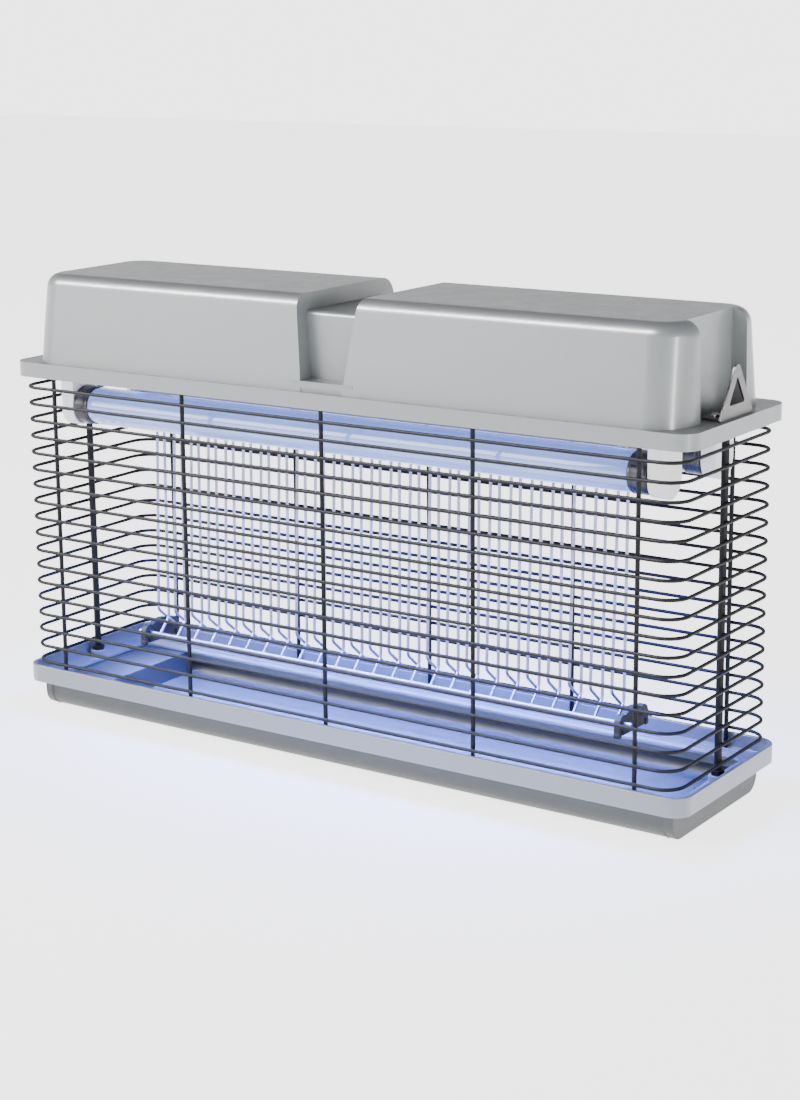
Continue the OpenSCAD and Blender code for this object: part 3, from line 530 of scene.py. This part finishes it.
def make_holder_cover(node, material):
    """The snap-on outer half of a lampholder, with a faceted barrel."""
    low, high = (Vector(v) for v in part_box(node))
    side = 1 if low.x > 0 else -1
    half = (high.y - low.y) / 2 + COVER_STAND
    middle_y, arc_z = (low.y + high.y) / 2, low.z + (high.y - low.y) / 2
    barrel = [(half * math.cos(math.radians(a)), arc_z + half * math.sin(math.radians(a))) for a in BARREL]
    outline = [(-half, high.z)] + barrel + [(half, high.z)]
    outer = high.x + COVER_STAND if side > 0 else low.x - COVER_STAND
    inner = (low.x + high.x) / 2 + side * 0.4 * MM
    bm = bmesh.new()
    near = [bm.verts.new((inner, middle_y + y, z)) for y, z in outline]
    far = [bm.verts.new((outer, middle_y + y, z)) for y, z in outline]
    bm.faces.new(near)
    bm.faces.new(far[::-1])
    for i in range(len(outline)):
        j = (i + 1) % len(outline)
        bm.faces.new((near[i], near[j], far[j], far[i]))
    recalculated(bm)
    rims = [e for e in bm.edges if len(e.link_faces) == 2 and e.calc_face_angle(0) > math.radians(60)]
    bmesh.ops.bevel(bm, geom=rims, offset=COVER_EDGE, segments=3, profile=0.5, affect="EDGES",
                    clamp_overlap=True)
    new_piece(node + "_cover", bm, material, "main", 24)


def make_welds(materials):
    """Nuggets where the guard's wires cross its bars and posts, and where grid wires meet rails."""
    low, high = (Vector(v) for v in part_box("guard_rings"))
    rings = islands("guard_rings")
    wire = rings[0][1].z - rings[0][0].z
    heights = sorted((b[0].z + b[1].z) / 2 for b in rings)
    bm = bmesh.new()
    for b in islands("guard_bars"):
        middle = (b[0] + b[1]) / 2
        side = 1 if middle.y > 0 else -1
        y = (high.y - wire) * side
        for z in heights:
            pellet(bm, Vector((middle.x, y, z)), scaled(BAR_WELD, wire))
    for node in ("post_left", "post_right"):
        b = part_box(node)
        middle = (Vector(b[0]) + Vector(b[1])) / 2
        side = 1 if middle.x > 0 else -1
        for z in heights:
            pellet(bm, Vector(((high.x - wire) * side, 0, z)), scaled(POST_WELD, wire))
    new_piece("guard_welds", recalculated(bm), materials["guard"], "main")
    bm = bmesh.new()
    for wires, rails in (("live_wires", "live_rails"), ("return_wires", "return_rails")):
        ends = [(r[0] + r[1]) / 2 for r in islands(rails)]
        radius = islands(rails)[0][1].z - ends[0].z
        middle_height = sum(end.z for end in ends) / len(ends)
        for b in islands(wires):
            x = (b[0].x + b[1].x) / 2
            for end in ends:
                inward = -1 if end.y > 0 else 1
                # The wires meet the lower rails from above and the upper ones from below
                towards = 1 if end.z < middle_height else -1
                pellet(bm, Vector((x, end.y + inward * radius * 0.8, end.z + towards * 0.3 * radius)),
                       scaled(RAIL_WELD, radius))
    new_piece("grid_welds", recalculated(bm), materials["grid"], "main")


# ---------------------------------------------------------------- the object

EDGES = (("top_housing", "housing", 0.7), ("base_rim", "housing", 0.6), ("collecting_tray", "tray", 0.6),
         ("hanging_bracket_left", "bracket", 0.3), ("hanging_bracket_right", "bracket", 0.3),
         ("grid_spacer_left", "black", 0.4), ("grid_spacer_right", "black", 0.4),
         ("grid_hanger_left", "ivory", 0.4), ("grid_hanger_right", "ivory", 0.4),
         ("lampholder_front_left", "white", 0.5), ("lampholder_front_right", "white", 0.5),
         ("lampholder_rear_left", "white", 0.5), ("lampholder_rear_right", "white", 0.5),
         ("ballast_front", "varnish", 0.6), ("ballast_rear", "varnish", 0.6),
         ("transformer_core", "varnish", 0.4), ("transformer_coil", "coil", 1.2),
         ("starter_sockets", "white", 0.4), ("starters", "aluminium", 0.5),
         ("terminal_block", "white", 0.4), ("post_nuts", "guard", 0.35),
         ("cord_gland", "black", 0.4), ("gland_nut", "black", 0.4))

FINISHES = (("chassis_plate", "zinc"), ("terminal_screws", "zinc"), ("guard_rings", "guard"),
            ("guard_bars", "guard"), ("post_left", "guard"), ("post_right", "guard"),
            ("rotors_front", "ivory"), ("rotors_rear", "ivory"), ("tube_pins_front", "brass"),
            ("tube_pins_rear", "brass"), ("live_rails", "grid"), ("live_wires", "grid"),
            ("return_rails", "grid"), ("return_wires", "grid"), ("internal_wiring", "lead"))

# Node, finish, head up, head height and shank radius in millimetres
SCREWS = (("bracket_screws", "steel", True, 1.8, 1.5), ("housing_screws", "steel", False, 1.3, 1.5),
          ("lampholder_screws", "zinc", True, 1.8, 1.2), ("ballast_screws", "zinc", True, 1.8, 1.5),
          ("transformer_screws", "zinc", True, 1.8, 1.5))


def dress():
    m = make_materials()
    for node, finish, edge in EDGES:
        refined(node, m[finish], edge * MM)
    for node, finish in FINISHES:
        plain_node(node, m[finish])
    for node, finish, head_up, height, shank in SCREWS:
        make_screws(node, m[finish], head_up, height * MM, shank * MM)
    for row in ("front", "rear"):
        make_caps("tube_caps_" + row, m["cap"], m["ivory"])
        make_glass("tube_glass_" + row, "tube_caps_" + row, m["tube"])
        for end in ("left", "right"):
            make_holder_cover("lampholder_" + row + "_" + end, m["white"])
    make_welds(m)


# ---------------------------------------------------------------- stage and light

def area_light(name, at, aim, size, power, colour=(1, 1, 1)):
    data = bpy.data.lights.new(name, "AREA")
    data.shape, data.size, data.size_y = "RECTANGLE", size[0], size[1]
    data.energy, data.color = power, colour
    light = bpy.data.objects.new(name, data)
    bpy.context.scene.collection.objects.link(light)
    at, aim = Vector(at), Vector(aim)
    light.matrix_world = Matrix.Translation(at) @ (at - aim).to_track_quat("Z", "Y").to_matrix().to_4x4()
    return light


def make_stage():
    bm = bmesh.new()
    bmesh.ops.create_grid(bm, x_segments=2, y_segments=2, size=FLOOR_REACH)
    mesh = bpy.data.meshes.new("floor")
    bm.to_mesh(mesh)
    bm.free()
    floor = bpy.data.objects.new("floor", mesh)
    floor.location.z = cad_box[0][2] - FLOOR_GAP
    bpy.context.scene.collection.objects.link(floor)
    n = Nodes("pale_floor")
    n.set(Base_Color=n.ramp(n.noise(2, 2), 0.86, 0.88), Roughness=0.9, Specular_IOR_Level=0.2,
          Emission_Color=(1.0, 1.0, 1.0), Emission_Strength=FLOOR_GLOW)
    mesh.materials.append(n.material)
    world = bpy.data.worlds.new("studio")
    world.use_nodes = True
    tree = world.node_tree
    coords = tree.nodes.new("ShaderNodeTexCoord")
    split = tree.nodes.new("ShaderNodeSeparateXYZ")
    ramp = tree.nodes.new("ShaderNodeValToRGB")
    elements = ramp.color_ramp.elements
    for element, (height, colour) in ((elements[0], SKY[0]), (elements[1], SKY[-1])):
        element.position, element.color = height, (*colour, 1)
    for height, colour in SKY[1:-1]:
        elements.new(height).color = (*colour, 1)
    tree.links.new(coords.outputs["Generated"], split.inputs[0])
    tree.links.new(split.outputs["Z"], ramp.inputs["Fac"])
    tree.links.new(ramp.outputs["Color"], tree.nodes["Background"].inputs["Color"])
    tree.nodes["Background"].inputs["Strength"].default_value = WORLD_STRENGTH
    bpy.context.scene.world = world


GLOW_SIZE = (0.40, 0.018)
GLOW_GAP = 0.0145
# Name, place, aim, size and power of the lights that only show as reflections
REFLECTED = (("edge_strip", (-0.94, -0.93, 1.34), (-0.94, 0, 0.27), (1.8, 0.22), 190),
             ("corner_strip", (1.95, -0.85, 0.3), (0.25, -0.05, 0.25), (0.12, 0.9), 40))


def make_lights():
    area_light("key", (-1.5, -1.9, 0.75), (-0.05, 0, 0.22), (1.4, 0.9), 34)
    area_light("top_strip", (-0.85, -0.95, 1.35), (0, 0, 0.27), (1.6, 0.10), 14)
    for strip in REFLECTED:
        area_light(*strip).visible_diffuse = False
    for tube, aim_y in (("tube_glass_front", 0.004), ("tube_glass_rear", -0.004)):
        low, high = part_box(tube)
        centre = (Vector(low) + Vector(high)) / 2
        below = centre - Vector((0, 0, GLOW_GAP))
        glow = area_light(tube + "_glow_down", below, Vector((centre.x, aim_y, 0.0)), GLOW_SIZE, 4.2, PALE_UV)
        glow.data.spread = math.radians(36)
        glow.visible_glossy = False
        above = centre + Vector((0, 0, GLOW_GAP))
        glow = area_light(tube + "_glow_up", above, above + Vector((0, 0, 1)), GLOW_SIZE, 5.0, UV)
        glow.data.spread = math.radians(150)
        glow.visible_glossy = False
    well = area_light("well_fill", (0, 0, 0.15), (0, 0, 0), (0.40, 0.06), 5.0, WELL_UV)
    well.data.spread = math.radians(145)
    area_light("end_fill", (1.7, -0.3, 0.5), (0.25, 0, 0.25), (0.8, 0.8), 7).visible_glossy = False


make_camera()
dress()
make_stage()
make_lights()
